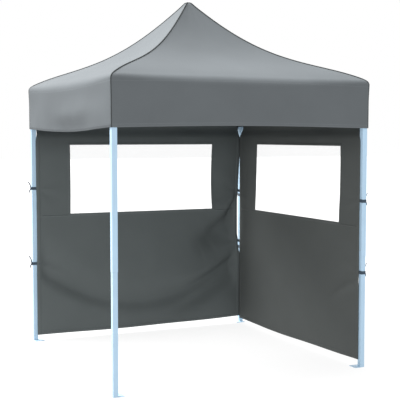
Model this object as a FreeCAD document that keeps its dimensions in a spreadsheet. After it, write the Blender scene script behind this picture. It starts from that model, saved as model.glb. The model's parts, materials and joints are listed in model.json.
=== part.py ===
"""Folding party tent, 2 m square: four telescopic legs, scissor trusses, a centre mast, a canopy
and two side walls with clear windows.

Millimetres, +Z up. The origin is on the ground at the middle of the tent. The front side faces -Y
and the legs are numbered anticlockwise seen from above: front_left, front_right, rear_right,
rear_left. Everything that repeats round the tent is drawn once for the front_left leg or the front
side and placed by turning it about Z.
"""
import FreeCAD, Part
import math
import os
import re

import Sketcher
from FreeCAD import Placement, Rotation, Vector

# Driving dimensions. Heights are above the ground, reaches are from the tent's middle.
DRIVING = {
    "canopy_width": 2000,
    "hem_height": 1775,
    "eave_height": 2110,
    "roof_rise": 650,
    "fabric_thick": 1.5,
    "peak_flat": 40,
    "leg_centre": 972,
    "leg_size": 38,
    "leg_wall": 0.8,
    "leg_top": 2068,
    "leg_bottom": 830,
    "tube_gap": 0.5,
    "inner_top": 1080,
    "foot_reach": 63,
    "foot_thick": 3,
    "peg_radius": 5,
    "pivot_reach": 896,
    "truss_top": 2055,
    "truss_drop": 230,
    "truss_plane": 964,
    "bar_depth": 22,
    "bar_thick": 10,
    "bar_wall": 0.8,
    "bar_plug": 26,
    "layer_gap": 1,
    "pin_radius": 3,
    "pin_gap": 0.06,
    "head_radius": 6,
    "head_thick": 2,
    "head_gap": 0.3,
    "ear_radius": 12,
    "socket_wall": 4,
    "socket_skirt": 38,
    "socket_cap": 12,
    "slider_gap": 0.4,
    "slider_height": 50,
    "hub_radius": 17,
    "hub_height": 44,
    "hub_pivot": 30,
    "joint_width": 30,
    "joint_height": 32,
    "joint_thick": 12,
    "joint_gap": 0.5,
    "mast_radius": 12.5,
    "mast_wall": 0.8,
    "mast_play": 0.05,
    "mast_top": 2734,
    "cap_collar": 8,
    "cap_plug": 20,
    "button_radius": 4,
    "button_hole": 4.5,
    "height_button_level": 875,
    "lock_button_level": 1825,
    "button_proud": 3,
    "leaf_thick": 0.8,
    "leaf_width": 14,
    "leaf_height": 50,
    "wall_half": 945,
    "wall_skin": 950,
    "wall_outside": 983,
    "wall_bend": 1700,
    "wall_step": 90,
    "wall_foot": 45,
    "wall_top": 2050,
    "window_width": 1330,
    "window_height": 580,
    "window_foot": 1061,
    "rear_window_shift": 2,
    "right_window_shift": 29,
    "film_thick": 0.6,
    "film_gap": 0.3,
    "tie_height": 20,
    "tie_thick": 1.2,
    "tie_slack": 0.7,
}

# The roof line from eave to peak, as a polynomial of the share of the way in.
ROOF_SHAPE = (0.96, -1.80, 3.00, -1.16)
ROOF_STEPS = 8

SIDES = ("front", "right", "rear", "left")
LEGS = ("front_left", "front_right", "rear_right", "rear_left")
# The levels of each wall's ties at its two ends, -1 being the left one seen from inside the tent.
TIE_LEVELS = {
    "rear": {-1: (1280, 650), 1: (1205, 755)},
    "right": {-1: (1165, 700), 1: (1240, 710)},
}

doc = FreeCAD.newDocument("party_tent")
sizes = doc.addObject("Spreadsheet::Sheet", "sizes")
for row, (alias, number) in enumerate(DRIVING.items(), start=1):
    sizes.set(f"A{row}", alias)
    sizes.set(f"B{row}", str(number))
    sizes.setAlias(f"B{row}", alias)
doc.recompute()

ALIAS = re.compile(r"\b(" + "|".join(sorted(DRIVING, key=len, reverse=True)) + r")\b")
BAR_LENGTH = "sqrt(pivot_reach ^ 2 + truss_drop ^ 2)"
TRUSS_FOOT = "truss_top - truss_drop"
INNER_SIZE = "leg_size - 2 * leg_wall - 2 * tube_gap"
SOCKET_HALF = "leg_size / 2 + socket_wall"
# Bars of one truss lie in two layers, either side of the truss plane (as seen at the front side).
OUTER = ("-truss_plane - layer_gap / 2 - bar_thick", "-truss_plane - layer_gap / 2")
INNER = ("-truss_plane + layer_gap / 2", "-truss_plane + layer_gap / 2 + bar_thick")
PAST_OUTER = (f"{OUTER[0]} - head_gap - head_thick", f"{OUTER[0]} - head_gap")
PAST_INNER = (f"{INNER[1]} + head_gap", f"{INNER[1]} + head_gap + head_thick")
# The beam's two layers lie either side of the YZ plane.
PLUS = ("layer_gap / 2", "layer_gap / 2 + bar_thick")
MINUS = ("-layer_gap / 2 - bar_thick", "-layer_gap / 2")
PAST_PLUS = (f"{PLUS[1]} + head_gap", f"{PLUS[1]} + head_gap + head_thick")
PAST_MINUS = (f"{MINUS[0]} - head_gap - head_thick", f"{MINUS[0]} - head_gap")
# For a tab in each layer, the spans of its pin's shank and head, past the layer beside it.
PINS = {
    INNER: ((PAST_OUTER[0], INNER[1]), PAST_OUTER),
    OUTER: ((OUTER[0], PAST_INNER[1]), PAST_INNER),
    MINUS: ((MINUS[0], PAST_PLUS[1]), PAST_PLUS),
    PLUS: ((PAST_MINUS[0], PLUS[1]), PAST_MINUS),
}


# ---------------------------------------------------------------- drawing helpers
def bind(thing, prop, formula):
    """Ties a property to the sheet: each alias in the formula becomes a reference to its cell."""
    thing.setExpression(prop, ALIAS.sub(lambda found: "sizes." + found.group(1), str(formula)))


def spare_name(word):
    """A free object name, because drawing parts repeat."""
    return f"{word}_{len(doc.Objects)}"


def box(x, y, z):
    """A block between three (low, high) pairs of formulas."""
    block = doc.addObject("Part::Box", spare_name("block"))
    for prop, place, (low, high) in zip(("Length", "Width", "Height"), "xyz", (x, y, z)):
        bind(block, prop, f"({high}) - ({low})")
        bind(block, f"Placement.Base.{place}", low)
    return block


TURN_TO = {
    "x": Rotation(Vector(0, 1, 0), 90),
    "y": Rotation(Vector(1, 0, 0), -90),
    "z": Rotation(),
}


def rod(radius, axis, low, high, **centre):
    """A round bar along an axis from low to high; centre gives the other two coordinates."""
    bar_ = doc.addObject("Part::Cylinder", spare_name("rod"))
    bar_.Placement = Placement(Vector(), TURN_TO[axis])
    bind(bar_, "Radius", radius)
    bind(bar_, "Height", f"({high}) - ({low})")
    for place, formula in {**centre, axis: low}.items():
        bind(bar_, f"Placement.Base.{place}", formula)
    return bar_


def fuse(*shapes):
    """One solid from several that touch or overlap."""
    whole = doc.addObject("Part::MultiFuse", spare_name("fuse"))
    whole.Shapes = list(shapes)
    whole.Refine = True
    return whole


def cut(base, *tools):
    """The base without the tools."""
    rest = doc.addObject("Part::Cut", spare_name("cut"))
    rest.Base = base
    rest.Tool = fuse(*tools) if len(tools) > 1 else tools[0]
    rest.Refine = True
    return rest


def square_tube(size, wall, low, high):
    """An upright square tube centred on the Z axis."""
    half, bore = f"({size}) / 2", f"({size}) / 2 - {wall}"
    solid = box((f"-{half}", half), (f"-{half}", half), (low, high))
    hollow = box((f"-({bore})", bore), (f"-({bore})", bore), (f"({low}) - 1", f"({high}) + 1"))
    return cut(solid, hollow)


parts = {}


def keep(label, shape, placement=None):
    """Registers a finished sub-part under its label, put in its place."""
    shape.Label = label
    if placement:
        shape.Placement = placement
    parts[label] = shape
    return shape


def quarter_turn(count):
    """A placement turned count quarter turns about Z, from the front or front_left position."""
    return Placement(Vector(), Rotation(Vector(0, 0, 1), 90 * count))


# ---------------------------------------------------------------- truss bars
def bar(label, pins, placement):
    """A flat oval tube with plugged ends, from its high end at the origin along +X to its low end.

    It has a pivot at each end and in the middle. Those named in pins carry a rivet that reaches
    through the bar in the next layer, towards +Y; the others are holes.
    """
    half, thick = "bar_depth / 2", ("-bar_thick / 2", "bar_thick / 2")
    cavity = box(
        ("bar_plug - bar_depth / 2", f"{BAR_LENGTH} - bar_plug + bar_depth / 2"),
        ("bar_wall - bar_thick / 2", "bar_thick / 2 - bar_wall"),
        (f"bar_wall - {half}", f"{half} - bar_wall"),
    )
    stadium = fuse(
        box(("0", BAR_LENGTH), thick, (f"-{half}", half)),
        rod(half, "y", *thick, x="0"),
        rod(half, "y", *thick, x=BAR_LENGTH),
    )
    stations = {"high": "0", "middle": f"{BAR_LENGTH} / 2", "low": BAR_LENGTH}
    holes = [
        rod("pin_radius + pin_gap", "y", "-bar_thick", "bar_thick", x=at)
        for name, at in stations.items()
        if name not in pins
    ]
    body = cut(stadium, cavity, *holes)
    reach = "bar_thick * 1.5 + layer_gap + head_gap"
    rivets = []
    for name in pins:
        at = stations[name]
        rivets += [
            rod("pin_radius", "y", "-bar_thick / 2", f"{reach} + head_thick", x=at),
            rod("head_radius", "y", reach, f"{reach} + head_thick", x=at),
            rod("head_radius", "y", "-bar_thick / 2 - head_thick", "-bar_thick / 2", x=at),
        ]
    keep(label, fuse(body, *rivets) if rivets else body, placement)


def bar_place(x, y, z, heading):
    """The place of a bar whose high end is at x, y, z and which slopes down towards heading."""
    slope = math.degrees(math.atan2(DRIVING["truss_drop"], DRIVING["pivot_reach"]))
    turn = Rotation(Vector(0, 0, 1), heading) * Rotation(Vector(0, 1, 0), slope)
    return Placement(Vector(x, y, z), turn)


def truss_bars(side, turns):
    """The two X's of one side. "a" is the X at the side's left leg seen from outside."""
    reach, high = DRIVING["pivot_reach"], DRIVING["truss_top"]
    step = (DRIVING["layer_gap"] + DRIVING["bar_thick"]) / 2
    outer, inner = -DRIVING["truss_plane"] - step, -DRIVING["truss_plane"] + step
    # The front and rear sides have middle joints with pins of their own.
    bolted = side in ("left", "right")
    turned = quarter_turn(turns)
    high_pins = ("middle", "low") if bolted else ("middle",)
    low_pins = ("high",) if bolted else ()
    bar(f"truss_{side}_a_high", high_pins, turned * bar_place(-reach, outer, high, 0))
    bar(f"truss_{side}_a_low", low_pins, turned * bar_place(0, inner, high, 180))
    bar(f"truss_{side}_b_high", ("middle",), turned * bar_place(reach, inner, high, 180))
    bar(f"truss_{side}_b_low", (), turned * bar_place(0, outer, high, 0))


def beam_bars(side, turns):
    """One arm of the beam that carries the mast, from a side's middle joints to the hubs."""
    hub, high = DRIVING["hub_pivot"], DRIVING["truss_top"]
    far = hub + DRIVING["pivot_reach"]
    step = (DRIVING["layer_gap"] + DRIVING["bar_thick"]) / 2
    turned = quarter_turn(turns)
    bar(f"beam_{side}_high", ("middle",), turned * bar_place(step, -far, high, 90))
    bar(f"beam_{side}_low", (), turned * bar_place(-step, -hub, high, -90))


# ---------------------------------------------------------------- ears that hold bar ends
def ear(along, reach, pivot, slab, level):
    """A rounded tab that spans reach along an axis and slab across it, with a headed pin at pivot.

    The pin crosses the layer beside the tab, where the bar's end is.
    """
    across = "y" if along == "x" else "x"
    shank, head = PINS[slab]
    height = (f"({level}) - ear_radius", f"({level}) + ear_radius")
    spans = {along: reach, across: slab}
    place = {along: pivot, "z": level}
    return [
        box(spans["x"], spans["y"], height),
        rod("ear_radius", across, *slab, **place),
        rod("pin_radius", across, *shank, **place),
        rod("head_radius", across, *head, **place),
    ]


def leg_ears(level, front, left):
    """The two ears of a leg's bracket or slider, at the front_left leg, each in its own layer."""
    reach = (f"-leg_centre + {SOCKET_HALF} - 1", "-pivot_reach")
    return ear("x", reach, "-pivot_reach", front, level) + ear("y", reach, "-pivot_reach", left, level)


def centred_on_leg(half):
    """The (low, high) formulas of a span about the front_left leg's centre."""
    return (f"-leg_centre - ({half})", f"-leg_centre + ({half})")


# ---------------------------------------------------------------- legs
def leg_tube(name, turned):
    """The upper tube of a leg, with a hole for each of its two snap buttons."""
    tube = square_tube("leg_size", "leg_wall", "leg_bottom", "leg_top")
    holes = [
        rod("button_hole", "y", "leg_size / 2 - 3", "leg_size / 2 + 1", x="0", z=level)
        for level in ("height_button_level", "lock_button_level")
    ]
    centre = DRIVING["leg_centre"]
    keep(f"leg_{name}", cut(tube, *holes), turned * Placement(Vector(-centre, -centre, 0), Rotation()))


def inner_leg(name, turned):
    """The lower tube of a leg, welded to a foot plate that reaches inward and has a peg hole."""
    half = f"({INNER_SIZE}) / 2"
    tube = square_tube(INNER_SIZE, "leg_wall", "foot_thick / 2", "inner_top")
    plate = box((f"-{half}", "foot_reach"), (f"-{half}", "foot_reach"), ("0", "foot_thick"))
    corner = {"x": "foot_reach - 14", "y": "foot_reach - 14"}
    peg = rod("peg_radius", "z", "-1", "foot_thick + 1", **corner)
    hole = rod("button_radius + 0.3", "y", f"{half} - 3", f"{half} + 1", x="0", z="height_button_level")
    centre = DRIVING["leg_centre"]
    keep(
        f"inner_leg_{name}",
        cut(fuse(tube, plate), peg, hole),
        turned * Placement(Vector(-centre, -centre, 0), Rotation()),
    )


def snap_button(label, level, tip, cavity_half, turned):
    """A snap button: a round pin on a bent leaf spring that leans on the far wall of its tube."""
    leaf_face = f"{cavity_half} - 4"
    spring = box(
        ("-leaf_width / 2", "leaf_width / 2"),
        (f"{leaf_face} - leaf_thick", leaf_face),
        (f"{level} - leaf_height", f"{level} + leaf_width / 2"),
    )
    fold = box(
        ("-leaf_width / 2", "leaf_width / 2"),
        (f"-({cavity_half}) + 9", leaf_face),
        (f"{level} - leaf_height", f"{level} - leaf_height + leaf_thick"),
    )
    heel = box(
        ("-leaf_width / 2", "leaf_width / 2"),
        (f"-({cavity_half}) + 9", f"-({cavity_half}) + 9 + leaf_thick"),
        (f"{level} - leaf_height", level),
    )
    pin = rod("button_radius", "y", f"{leaf_face} - leaf_thick", tip, x="0", z=level)
    centre = DRIVING["leg_centre"]
    keep(
        label,
        fuse(spring, fold, heel, pin),
        turned * Placement(Vector(-centre, -centre, 0), Rotation()),
    )


def leg_bracket(name, turned):
    """The cap pressed on a leg's top, with an ear for each of the two trusses that meet there."""
    span, tube = centred_on_leg(SOCKET_HALF), centred_on_leg("leg_size / 2")
    block = box(span, span, ("leg_top - socket_skirt", "leg_top + socket_cap"))
    socket = box(tube, tube, ("leg_top - socket_skirt - 1", "leg_top"))
    whole = fuse(block, *leg_ears("truss_top", INNER, OUTER))
    keep(f"bracket_{name}", cut(whole, socket), turned)


def slider(name, turned):
    """The collar that runs on a leg, with an ear for each truss and a hole for the lock button."""
    span, bore = centred_on_leg(SOCKET_HALF), centred_on_leg("leg_size / 2 + slider_gap")
    low, high = (f"{TRUSS_FOOT} {sign} slider_height / 2" for sign in "-+")
    block = box(span, span, (low, high))
    hollow = box(bore, bore, (f"{low} - 1", f"{high} + 1"))
    face = f"-leg_centre + {SOCKET_HALF}"
    hole = rod("button_hole", "y", f"{face} - 8", f"{face} + 1", x="-leg_centre", z="lock_button_level")
    whole = fuse(block, *leg_ears(TRUSS_FOOT, OUTER, INNER))
    keep(f"slider_{name}", cut(whole, hollow, hole), turned)


# ---------------------------------------------------------------- middle joints, hubs and mast
def middle_joint(label, level, slab, turned):
    """The block at the middle of the front or rear truss that joins its bars to the beam."""
    face = "-truss_plane + layer_gap / 2 + bar_thick + joint_gap"
    width = ("-joint_width / 2", "joint_width / 2")
    height = (f"{level} - joint_height / 2", f"{level} + joint_height / 2")
    block = box(width, (face, f"{face} + joint_thick"), height)
    pin = rod("pin_radius", "y", PAST_OUTER[0], face, x="0", z=level)
    head = rod("head_radius", "y", *PAST_OUTER, x="0", z=level)
    pivot = "-hub_pivot - pivot_reach"
    tab = ear("y", (face, pivot), pivot, slab, level)
    keep(label, fuse(block, pin, head, *tab), turned)


def hub(label, level, front_slab, bore):
    """A round hub on the mast with an ear for the front arm of the beam and one for the rear arm."""
    barrel = rod("hub_radius", "z", f"{level} - hub_height / 2", f"{level} + hub_height / 2", x="0", y="0")
    hole = rod(bore, "z", f"{level} - hub_height", f"{level} + hub_height", x="0", y="0")
    front = fuse(*ear("y", ("-hub_pivot", "-mast_radius - 2"), "-hub_pivot", front_slab, level))
    rear = doc.addObject("Part::Feature", spare_name("rear_ear"))
    doc.recompute()
    rear.Shape = front.Shape
    rear.Placement = quarter_turn(2)
    keep(label, cut(fuse(barrel, front, rear), hole))


def mast():
    """The tube that pushes the roof up, and the domed plug in its end that the fabric rests on.

    The plug is no wider than the tube, because the folded mast draws down into the upper hub.
    """
    foot = f"{TRUSS_FOOT} - hub_height / 2"
    top = "mast_top - cap_collar - mast_radius"
    tube = cut(
        rod("mast_radius", "z", foot, top, x="0", y="0"),
        rod("mast_radius - mast_wall", "z", f"{foot} - 1", f"{top} + 1", x="0", y="0"),
    )
    keep("mast", tube)
    dome = doc.addObject("Part::Sphere", "cap_dome")
    bind(dome, "Radius", "mast_radius")
    bind(dome, "Placement.Base.z", f"{top} + cap_collar")
    below = rod("mast_radius * 2", "z", f"{top} - mast_radius", f"{top} + cap_collar", x="0", y="0")
    collar = rod("mast_radius", "z", top, f"{top} + cap_collar", x="0", y="0")
    plug = rod("mast_radius - mast_wall", "z", f"{top} - cap_plug", top, x="0", y="0")
    keep("mast_cap", fuse(cut(dome, below), collar, plug))


# ---------------------------------------------------------------- canopy and walls
def square_section(half, level):
    """One square of the canopy, as a four-sided polygon about Z."""
    section = doc.addObject("Part::RegularPolygon", spare_name("section"))
    section.Polygon = 4
    section.Placement = Placement(Vector(), Rotation(Vector(0, 0, 1), 45))
    bind(section, "Circumradius", f"sqrt(2) * ({half})")
    bind(section, "Placement.Base.z", level)
    return section


def canopy_body(inset, lift, foot):
    """A solid under one skin of the canopy: straight valance, then the curved roof to the peak."""
    sections = [
        square_section(f"canopy_width / 2 - {inset}", foot),
        square_section(f"canopy_width / 2 - {inset}", f"eave_height - {lift}"),
    ]
    for step in range(1, ROOF_STEPS + 1):
        way = step / ROOF_STEPS * (1 - DRIVING["peak_flat"] / DRIVING["canopy_width"])
        rise = sum(share * way ** (power + 1) for power, share in enumerate(ROOF_SHAPE))
        half = f"canopy_width / 2 * {1 - way:.6f}"
        sections.append(square_section(half, f"eave_height + roof_rise * {rise:.6f} - {lift}"))
    skin = doc.addObject("Part::Loft", spare_name("skin"))
    skin.Sections = sections
    skin.Solid = True
    skin.Ruled = True
    return skin


def canopy():
    """The roof and its valance, open underneath."""
    outside = canopy_body("0", "0", "hem_height")
    inside = canopy_body("fabric_thick", "fabric_thick * 1.7", "hem_height - 5")
    keep("canopy", cut(outside, inside))


def closed_loop(sketch, corners):
    """Straight sides through the corners, joined end to end. Returns the first side's number."""
    first = sketch.GeometryCount
    for here, there in zip(corners, corners[1:] + corners[:1]):
        sketch.addGeometry(Part.LineSegment(Vector(*here, 0), Vector(*there, 0)), False)
    count = len(corners)
    for n in range(count):
        rule = Sketcher.Constraint("Coincident", first + n, 2, first + (n + 1) % count, 1)
        sketch.addConstraint(rule)
    return first


def distance(sketch, label, kind, start, end, formula):
    """A named distance between two points of a sketch, tied to the sheet."""
    sketch.renameConstraint(sketch.addConstraint(Sketcher.Constraint(kind, *start, *end, 1)), label)
    bind(sketch, f"Constraints.{label}", formula)


def new_sketch(body, role):
    """A sketch on one of the body's own origin planes."""
    sketch = body.newObject("Sketcher::SketchObject", f"{body.Name}_{role[:2].lower()}")
    plane = next(f for f in body.Origin.OriginFeatures if f.Role == role)
    sketch.AttachmentSupport = [(plane, "")]
    sketch.MapMode = "FlatFace"
    return sketch


def window_outline(body, gap, shift):
    """The window's rectangle, seen from the front, drawn smaller by a gap all round."""
    sketch = new_sketch(body, "XZ_Plane")
    first = closed_loop(sketch, [(-9, 1), (9, 1), (9, 9), (-9, 9)])
    for side, kind in enumerate(("Horizontal", "Vertical", "Horizontal", "Vertical")):
        sketch.addConstraint(Sketcher.Constraint(kind, first + side))
    origin, low_left, high_right = (-1, 1), (first, 1), (first + 2, 1)
    half = f"window_width / 2 - {gap}"
    distance(sketch, "left_reach", "DistanceX", low_left, origin, f"{half} - {shift}")
    distance(sketch, "right_reach", "DistanceX", origin, high_right, f"{half} + {shift}")
    distance(sketch, "foot_level", "DistanceY", origin, low_left, f"window_foot + {gap}")
    top = f"window_foot + window_height - {gap}"
    distance(sketch, "top_level", "DistanceY", origin, high_right, top)
    return sketch


# The wall's section, from its foot up: inside the legs, then outside the truss to its top hem.
WALL_PATH = (
    ("wall_skin", "wall_foot"),
    ("wall_skin", "wall_bend"),
    ("wall_outside", "wall_bend + wall_step"),
    ("wall_outside", "wall_top"),
)


def wall_sheet(side, shift):
    """The fabric of a wall at the rear: its section drawn out sideways, with the window cut out."""
    body = doc.addObject("PartDesign::Body", f"{side}_sheet")
    section = new_sketch(body, "YZ_Plane")
    thicker = [(f"{across} + fabric_thick", level) for across, level in reversed(WALL_PATH)]
    corners = [*WALL_PATH, *thicker]
    first = closed_loop(section, [(9 + n // 4, 1 + min(n, 7 - n)) for n in range(len(corners))])
    for n, (across, level) in enumerate(corners):
        distance(section, f"across_{'abcdefgh'[n]}", "DistanceX", (-1, 1), (first + n, 1), across)
        distance(section, f"level_{'abcdefgh'[n]}", "DistanceY", (-1, 1), (first + n, 1), level)
    pad = body.newObject("PartDesign::Pad", f"{side}_pad")
    pad.Profile = section
    pad.SideType = "Symmetric"
    bind(pad, "Length", "2 * wall_half")
    opening = window_outline(body, "0", shift)
    doc.recompute()
    whole = pad.Shape.Volume
    pocket = body.newObject("PartDesign::Pocket", f"{side}_window")
    pocket.Profile = opening
    pocket.SideType = "Symmetric"
    pocket.Type = "ThroughAll"
    body.Tip = pocket
    doc.recompute()
    if pocket.Shape.Volume > whole - 1000:
        raise RuntimeError(f"the {side} wall's window cuts nothing")
    return body


def tie(level, end):
    """A fabric tie at the rear: a loose band round a leg, sewn to the wall's edge. end is -1 or 1."""

    def about_leg(half, sign):
        low, high = centred_on_leg(half)
        return (low, high) if sign < 0 else (f"-({high})", f"-({low})")

    half = "leg_size / 2 + tie_slack"
    height = (f"{level} - tie_height / 2", f"{level} + tie_height / 2")
    outside, bore = (about_leg(f"{half} + {grow}", end) for grow in ("tie_thick", "0"))
    deep, deep_bore = (about_leg(f"{half} + {grow}", 1) for grow in ("tie_thick", "0"))
    band = box(outside, deep, height)
    hollow = box(bore, deep_bore, (f"{height[0]} - 1", f"{height[1]} + 1"))
    seam = ("wall_half - 1", "leg_centre - leg_size / 2")
    seam = seam if end > 0 else (f"-({seam[1]})", f"-({seam[0]})")
    return [cut(band, hollow), box(seam, ("wall_skin", "wall_skin + fabric_thick"), height)]


def side_wall(side, turned):
    """A wall panel with its window opening and ties, and the clear film that fills the window."""
    shift = f"{side}_window_shift"
    ties = []
    for end, levels in TIE_LEVELS[side].items():
        for level in levels:
            ties += tie(str(level), end)
    keep(f"wall_{side}", fuse(wall_sheet(side, shift), *ties), turned)
    film = doc.addObject("PartDesign::Body", f"{side}_film")
    pad = film.newObject("PartDesign::Pad", f"{side}_film_pad")
    pad.Profile = window_outline(film, "film_gap", shift)
    bind(pad, "Length", "film_thick")
    film.Tip = pad
    behind = DRIVING["wall_skin"] + DRIVING["film_thick"]
    keep(f"window_{side}", film, turned * Placement(Vector(0, behind, 0), Rotation()))


# ---------------------------------------------------------------- the whole tent
def build():
    """Draws every sub-part."""
    hub("centre_hub_upper", "truss_top", PLUS, "mast_radius + mast_play")
    hub("centre_hub_lower", TRUSS_FOOT, MINUS, "mast_radius")
    mast()
    for side in ("front", "rear"):
        turns = SIDES.index(side)
        middle_joint(f"joint_{side}_upper", "truss_top", MINUS, quarter_turn(turns))
        middle_joint(f"joint_{side}_lower", TRUSS_FOOT, PLUS, quarter_turn(turns))
        beam_bars(side, turns)
    for turns, side in enumerate(SIDES):
        truss_bars(side, turns)
    for turns, name in enumerate(LEGS):
        turned = quarter_turn(turns)
        leg_tube(name, turned)
        inner_leg(name, turned)
        leg_bracket(name, turned)
        slider(name, turned)
        tube_half = "leg_size / 2 - leg_wall"
        snap_button(
            f"height_button_{name}",
            "height_button_level",
            "leg_size / 2 + button_proud",
            f"{tube_half} - tube_gap - leg_wall",
            turned,
        )
        snap_button(
            f"lock_button_{name}",
            "lock_button_level",
            f"{SOCKET_HALF} + button_proud / 3",
            tube_half,
            turned,
        )
    canopy()
    side_wall("rear", quarter_turn(0))
    side_wall("right", quarter_turn(-1))


def check():
    """Stops if any object failed or any sub-part isn't a valid solid."""
    failed = [o.Label for o in doc.Objects if {"Invalid", "Error"} & set(o.State)]
    if failed:
        raise RuntimeError(f"failed objects: {failed}")
    for label, part in parts.items():
        if part.Shape.isNull() or not part.Shape.isValid() or not part.Shape.Solids:
            raise RuntimeError(f"{label} has no valid solid")


build()
doc.recompute()
check()
os.makedirs("parts", exist_ok=True)
for label, part in parts.items():
    part.Shape.exportStep(f"parts/{label}.step")
print(f"{len(parts)} sub-parts written")
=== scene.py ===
"""Looks of the folding party tent, laid over its CAD frame.

Metres, +Z up, the origin on the ground at the middle of the tent, the front side facing -Y.
A place on a wall is (s, z): metres to the right of its middle, seen from inside, and above the ground.
On the canopy, reach is the half width of the square ring that a place lies on, and s runs along one
side of it from -1 to 1, left to right, seen from outside.
"""

import json
import math

import bpy
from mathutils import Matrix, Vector, noise

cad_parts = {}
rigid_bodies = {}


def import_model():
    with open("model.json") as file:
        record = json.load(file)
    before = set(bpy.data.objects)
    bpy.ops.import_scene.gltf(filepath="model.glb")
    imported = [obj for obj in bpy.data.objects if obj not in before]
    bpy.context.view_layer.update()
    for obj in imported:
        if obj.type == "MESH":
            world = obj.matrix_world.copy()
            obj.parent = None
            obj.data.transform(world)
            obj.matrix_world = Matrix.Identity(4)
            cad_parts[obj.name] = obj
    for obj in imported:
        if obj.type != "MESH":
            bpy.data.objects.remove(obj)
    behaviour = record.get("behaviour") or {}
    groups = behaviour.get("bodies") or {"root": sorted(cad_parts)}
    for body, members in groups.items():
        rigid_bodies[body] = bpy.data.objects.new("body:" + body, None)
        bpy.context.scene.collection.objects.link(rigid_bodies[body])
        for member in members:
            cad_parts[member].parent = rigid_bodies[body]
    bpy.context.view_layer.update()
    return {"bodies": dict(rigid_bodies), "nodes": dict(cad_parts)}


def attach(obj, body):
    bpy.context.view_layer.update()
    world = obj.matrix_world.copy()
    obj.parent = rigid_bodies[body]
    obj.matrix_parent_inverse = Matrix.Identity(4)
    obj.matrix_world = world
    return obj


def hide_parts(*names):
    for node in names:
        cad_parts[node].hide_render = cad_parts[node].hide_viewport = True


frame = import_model()
scene = bpy.context.scene
bodies = frame["bodies"]

# Sizes shared with the CAD model.
CANOPY_HALF = 1.0
EAVE = 2.110
ROOF_RISE = 0.650
ROOF_SHAPE = (0.96, -1.80, 3.00, -1.16)
PEAK_HALF = 0.020
LEG_CENTRE = 0.972
LEG_HALF = 0.019
WALL_HALF = 0.945
WALL_SKIN = 0.950
WALL_OUTSIDE = 0.983
WALL_BEND = (1.700, 1.790)
WALL_FOOT = 0.045
WALL_TOP = 2.050
WINDOW_LOW = 1.061
WINDOW_HIGH = 1.641
WINDOW_HALF = 0.665
WINDOW_CENTRE = {"rear": 0.002, "right": 0.029}

# The cross seam under the windows, and the ties: the upper and lower one at each end of a wall, its
# left end (-1) and right end (1) seen from inside the tent.
SEAM_LEVEL = 1.045
TIE_LEVELS = {
    "rear": {-1: (1.280, 0.650), 1: (1.216, 0.755)},
    "right": {-1: (1.178, 0.700), 1: (1.240, 0.710)},
}
WALL_LEGS = {"rear": ("rear_left", "rear_right"), "right": ("rear_right", "front_right")}

# The cloth itself.
CLOTH_THICKNESS = 0.0012
FILM_THICKNESS = 0.0006
WEAVE_PITCH = 0.0011
STITCH_PITCH = 0.0065
STITCH_SHARE = 0.62
THREAD_HALF = 0.0009
SEAM_ALLOWANCE = 0.012
CLOTH_STEP = 0.016
FILM_STEP = 0.030


def clamp(value, low=0.0, high=1.0):
    return max(low, min(high, value))


def ease(value, start, end):
    """0 before start, 1 after end, smooth between."""
    t = clamp((value - start) / (end - start))
    return t * t * (3 - 2 * t)


def hump(value, centre, width):
    """A bell curve that is 1 at its centre."""
    return math.exp(-(((value - centre) / width) ** 2))


# ---------------------------------------------------------------- camera, floor and light

# The camera that suits the photo's perspective. Its angles are in degrees.
CAMERA_PLACE = (-3.0903, -6.8044, 1.7200)
CAMERA_DOWN = 3.8685
CAMERA_TURN = -25.141
SENSOR = 36
LENS = 85.76
SUN_TOWARDS = (-0.85, 1.1, 2.2)
SUN_STRENGTH = 8.4
SUN_SPREAD = 50
FLOOR_REACH = 60


def make_camera():
    camera = bpy.data.objects.new("camera", bpy.data.cameras.new("camera"))
    scene.collection.objects.link(camera)
    camera.location = CAMERA_PLACE
    camera.rotation_euler = (math.radians(90 - CAMERA_DOWN), 0, math.radians(CAMERA_TURN))
    camera.data.lens = LENS
    camera.data.sensor_width = SENSOR
    camera.data.clip_end = 200
    scene.camera = camera


def make_studio():
    scene.view_settings.view_transform = "Standard"
    world = bpy.data.worlds.new("studio")
    world.use_nodes = True
    world.node_tree.nodes["Background"].inputs["Color"].default_value = (1, 1, 1, 1)
    world.node_tree.nodes["Background"].inputs["Strength"].default_value = 1.0
    scene.world = world

    key = bpy.data.objects.new("key_light", bpy.data.lights.new("key_light", "SUN"))
    scene.collection.objects.link(key)
    key.data.energy = SUN_STRENGTH
    key.data.angle = math.radians(SUN_SPREAD)
    key.rotation_euler = Vector(SUN_TOWARDS).to_track_quat("Z", "Y").to_euler()

    mesh = bpy.data.meshes.new("floor")
    corners = [(x * FLOOR_REACH, y * FLOOR_REACH, 0) for x, y in ((-1, -1), (1, -1), (1, 1), (-1, 1))]
    mesh.from_pydata(corners, [], [(0, 1, 2, 3)])
    floor = bpy.data.objects.new("floor", mesh)
    scene.collection.objects.link(floor)
    material = bpy.data.materials.new("pale_floor")
    material.use_nodes = True
    base = material.node_tree.nodes["Principled BSDF"]
    base.inputs["Base Color"].default_value = (0.12, 0.12, 0.12, 1)
    base.inputs["Roughness"].default_value = 0.9
    base.inputs["Emission Color"].default_value = (1, 1, 1, 1)
    base.inputs["Emission Strength"].default_value = 0.86
    mesh.materials.append(material)


make_camera()
make_studio()


# ---------------------------------------------------------------- materials


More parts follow.
